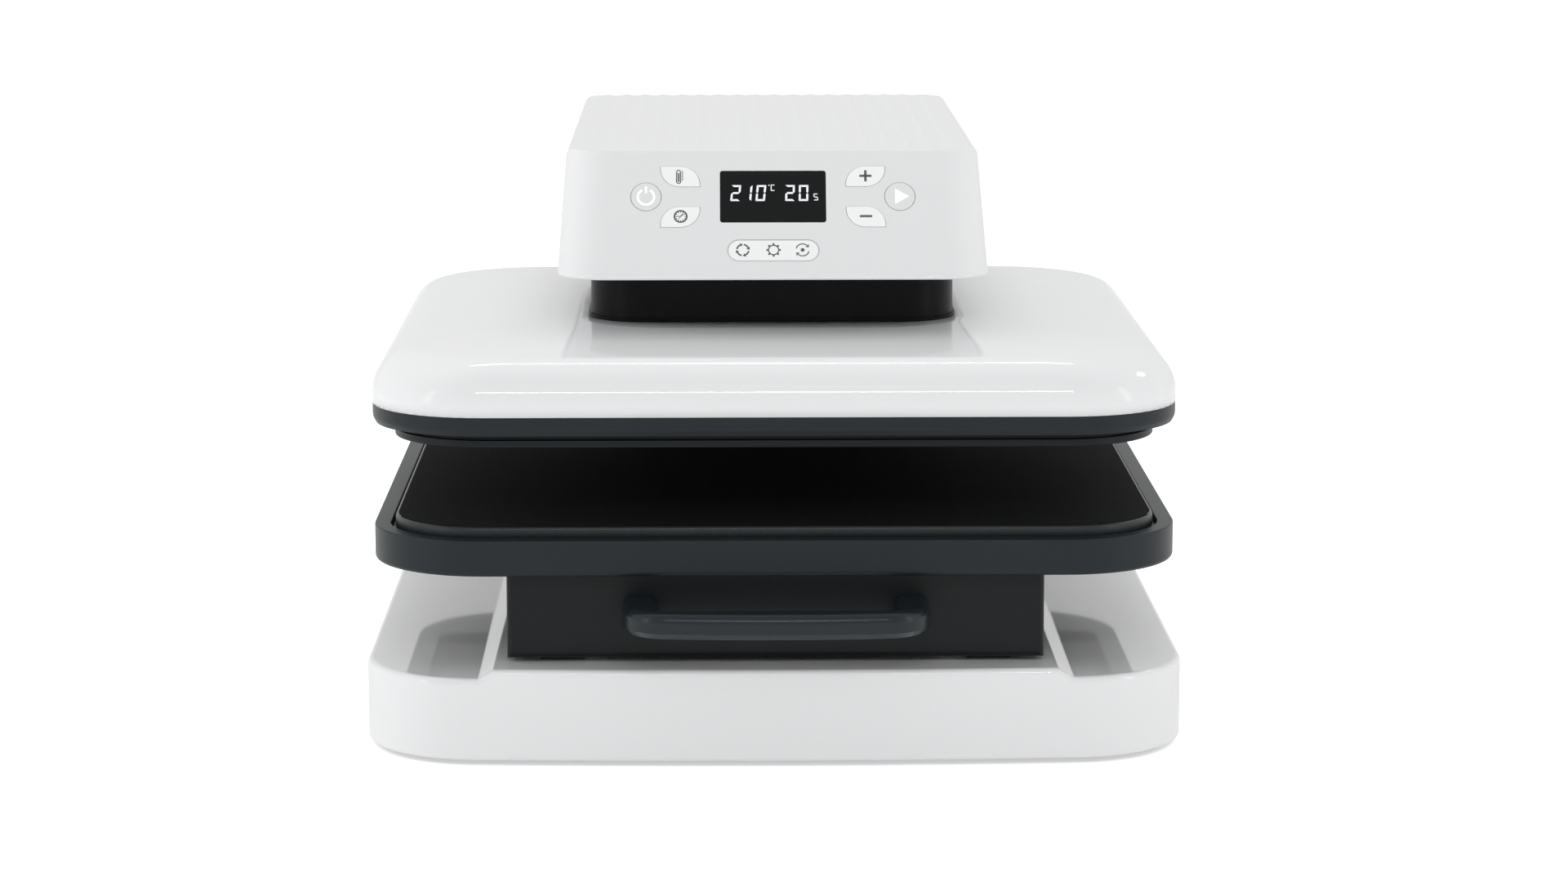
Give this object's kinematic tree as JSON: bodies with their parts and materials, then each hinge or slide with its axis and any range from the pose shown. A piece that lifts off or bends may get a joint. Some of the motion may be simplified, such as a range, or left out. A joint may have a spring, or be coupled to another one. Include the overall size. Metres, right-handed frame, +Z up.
{
  "type": "heat press",
  "caption": "Drawer-type automatic heat press: a screw-driven heated platen under a white dome closes on a padded tray that slides out on a front handle.",
  "frame": {"origin": "on the bench plane, at the middle of the overall box in X and Y; the vertical axis of the press, through the middle of the heated plate, is 18.525 mm in front of it, at Y = -0.018525", "axes": "+X to the right seen from the front, +Y to the back (the drawer opens towards -Y), +Z up"},
  "size_m": [0.41, 0.511, 0.2916],
  "materials": {
    "white_plastic": "glossy moulded white",
    "charcoal_plastic": "semi-gloss charcoal",
    "neck_plastic": "satin black",
    "window_black": "gloss smoked window",
    "key_white": "satin white keycap",
    "black_steel": "black powder coat",
    "steel": "bright zinc plated",
    "ground_steel": "ground and polished",
    "plate_aluminium": "dark non-stick coated",
    "cast_aluminium": "machined",
    "bronze": "sintered bronze",
    "silicone": "matte sponge",
    "foot_rubber": "matte",
    "belt_rubber": "ribbed",
    "board_fibre": "compressed fibre board",
    "circuit_green": "lacquered circuit board",
    "black_plastic": "fine matte",
    "element_steel": "heat tinted"
  },
  "bodies": {
    "base": {"base_bottom_plate": "black_steel", "base_shell": "white_plastic", "board_screws": "steel", "column_cover": "white_plastic", "column_plate": "steel", "control_board": "circuit_green", "cross_bars": "steel", "display_window": "window_black", "drive_belt": "belt_rubber", "drive_motor": "steel", "drive_plate": "steel", "fan_frame": "black_plastic", "foot_screws": "steel", "frame_left": "black_steel", "frame_right": "black_steel", "frame_screws": "steel", "guide_shafts": "ground_steel", "head_bottom_cover": "white_plastic", "head_shell": "white_plastic", "power_board": "circuit_green", "power_inlet": "black_plastic", "rubber_feet": "foot_rubber", "screw_bearing": "ground_steel", "slide_brackets": "steel", "slide_outer_left": "steel", "slide_outer_right": "steel", "status_window": "key_white", "switch_frame": "black_plastic"},
    "platen": {"heat_plate": "plate_aluminium", "heating_element": "element_steel", "temperature_sensor": "steel", "insulation_board": "board_fibre", "backing_plate": "steel", "trim_ring": "charcoal_plastic", "upper_shell": "white_plastic", "press_bridge": "steel", "bridge_screws": "steel", "screw_nut": "bronze", "guide_bushings": "bronze", "neck_cover": "neck_plastic"},
    "drawer": {"drawer_box": "black_steel", "drawer_handle": "charcoal_plastic", "drawer_screws": "steel", "tray": "charcoal_plastic", "silicone_pad": "silicone", "slide_inner_left": "steel", "slide_inner_right": "steel"},
    "slide_left": {"slide_middle_left": "steel"},
    "slide_right": {"slide_middle_right": "steel"},
    "screw": {"lead_screw": "ground_steel", "screw_pulley": "cast_aluminium"},
    "pinion": {"motor_pulley": "cast_aluminium"},
    "power_key": {"power_button": "key_white"},
    "preset_key": {"preset_button": "key_white"},
    "temperature_key": {"temperature_button": "key_white"},
    "time_key": {"time_button": "key_white"},
    "plus_key": {"plus_button": "key_white"},
    "minus_key": {"minus_button": "key_white"},
    "rocker": {"power_rocker": "black_plastic"},
    "rotor": {"fan_rotor": "black_plastic"}
  },
  "joints": [
    {"name": "drawer_slide", "type": "slide", "parent": "base", "child": "drawer", "axis": [0, -1, 0], "range_m": [0, 0.3]},
    {"name": "left_slide", "type": "slide", "parent": "base", "child": "slide_left", "axis": [0, -1, 0], "range_m": [0, 0.15]},
    {"name": "right_slide", "type": "slide", "parent": "base", "child": "slide_right", "axis": [0, -1, 0], "range_m": [0, 0.15]},
    {"name": "screw_spin", "type": "hinge", "parent": "base", "child": "screw", "pos_m": [0, -0.01852, 0.24], "axis": [0, 0, 1], "range_deg": [0, 1738]},
    {"name": "platen_press", "type": "slide", "parent": "base", "child": "platen", "axis": [0, 0, -1], "range_m": [0, 0.0386]},
    {"name": "pinion_spin", "type": "hinge", "parent": "base", "child": "pinion", "pos_m": [0, 0.09648, 0.28], "axis": [0, 0, 1], "range_deg": [0, 4344.5]},
    {"name": "power_press", "type": "slide", "parent": "base", "child": "power_key", "axis": [0, 0.866, -0.5], "range_m": [0, 0.0008], "stiffness_N_per_m": 400},
    {"name": "preset_press", "type": "slide", "parent": "base", "child": "preset_key", "axis": [0, 0.866, -0.5], "range_m": [0, 0.0008], "stiffness_N_per_m": 400},
    {"name": "temperature_press", "type": "slide", "parent": "base", "child": "temperature_key", "axis": [0, 0.866, -0.5], "range_m": [0, 0.0008], "stiffness_N_per_m": 400},
    {"name": "time_press", "type": "slide", "parent": "base", "child": "time_key", "axis": [0, 0.866, -0.5], "range_m": [0, 0.0008], "stiffness_N_per_m": 400},
    {"name": "plus_press", "type": "slide", "parent": "base", "child": "plus_key", "axis": [0, 0.866, -0.5], "range_m": [0, 0.0008], "stiffness_N_per_m": 400},
    {"name": "minus_press", "type": "slide", "parent": "base", "child": "minus_key", "axis": [0, 0.866, -0.5], "range_m": [0, 0.0008], "stiffness_N_per_m": 400},
    {"name": "rocker_tilt", "type": "hinge", "parent": "base", "child": "rocker", "pos_m": [0.032, 0.24948, 0.025], "axis": [1, 0, 0], "range_deg": [0, 19.2]},
    {"name": "rotor_spin", "type": "hinge", "parent": "base", "child": "rotor", "pos_m": [0, 0.23947, 0.18], "axis": [0, 1, 0], "continuous": true}
  ],
  "couplings": [
    {"joint": "left_slide", "follows": "drawer_slide", "ratio": 0.5},
    {"joint": "right_slide", "follows": "drawer_slide", "ratio": 0.5},
    {"joint": "screw_spin", "follows": "platen_press", "rad_per_m": 785.4},
    {"joint": "pinion_spin", "follows": "platen_press", "rad_per_m": 1963.5}
  ]
}
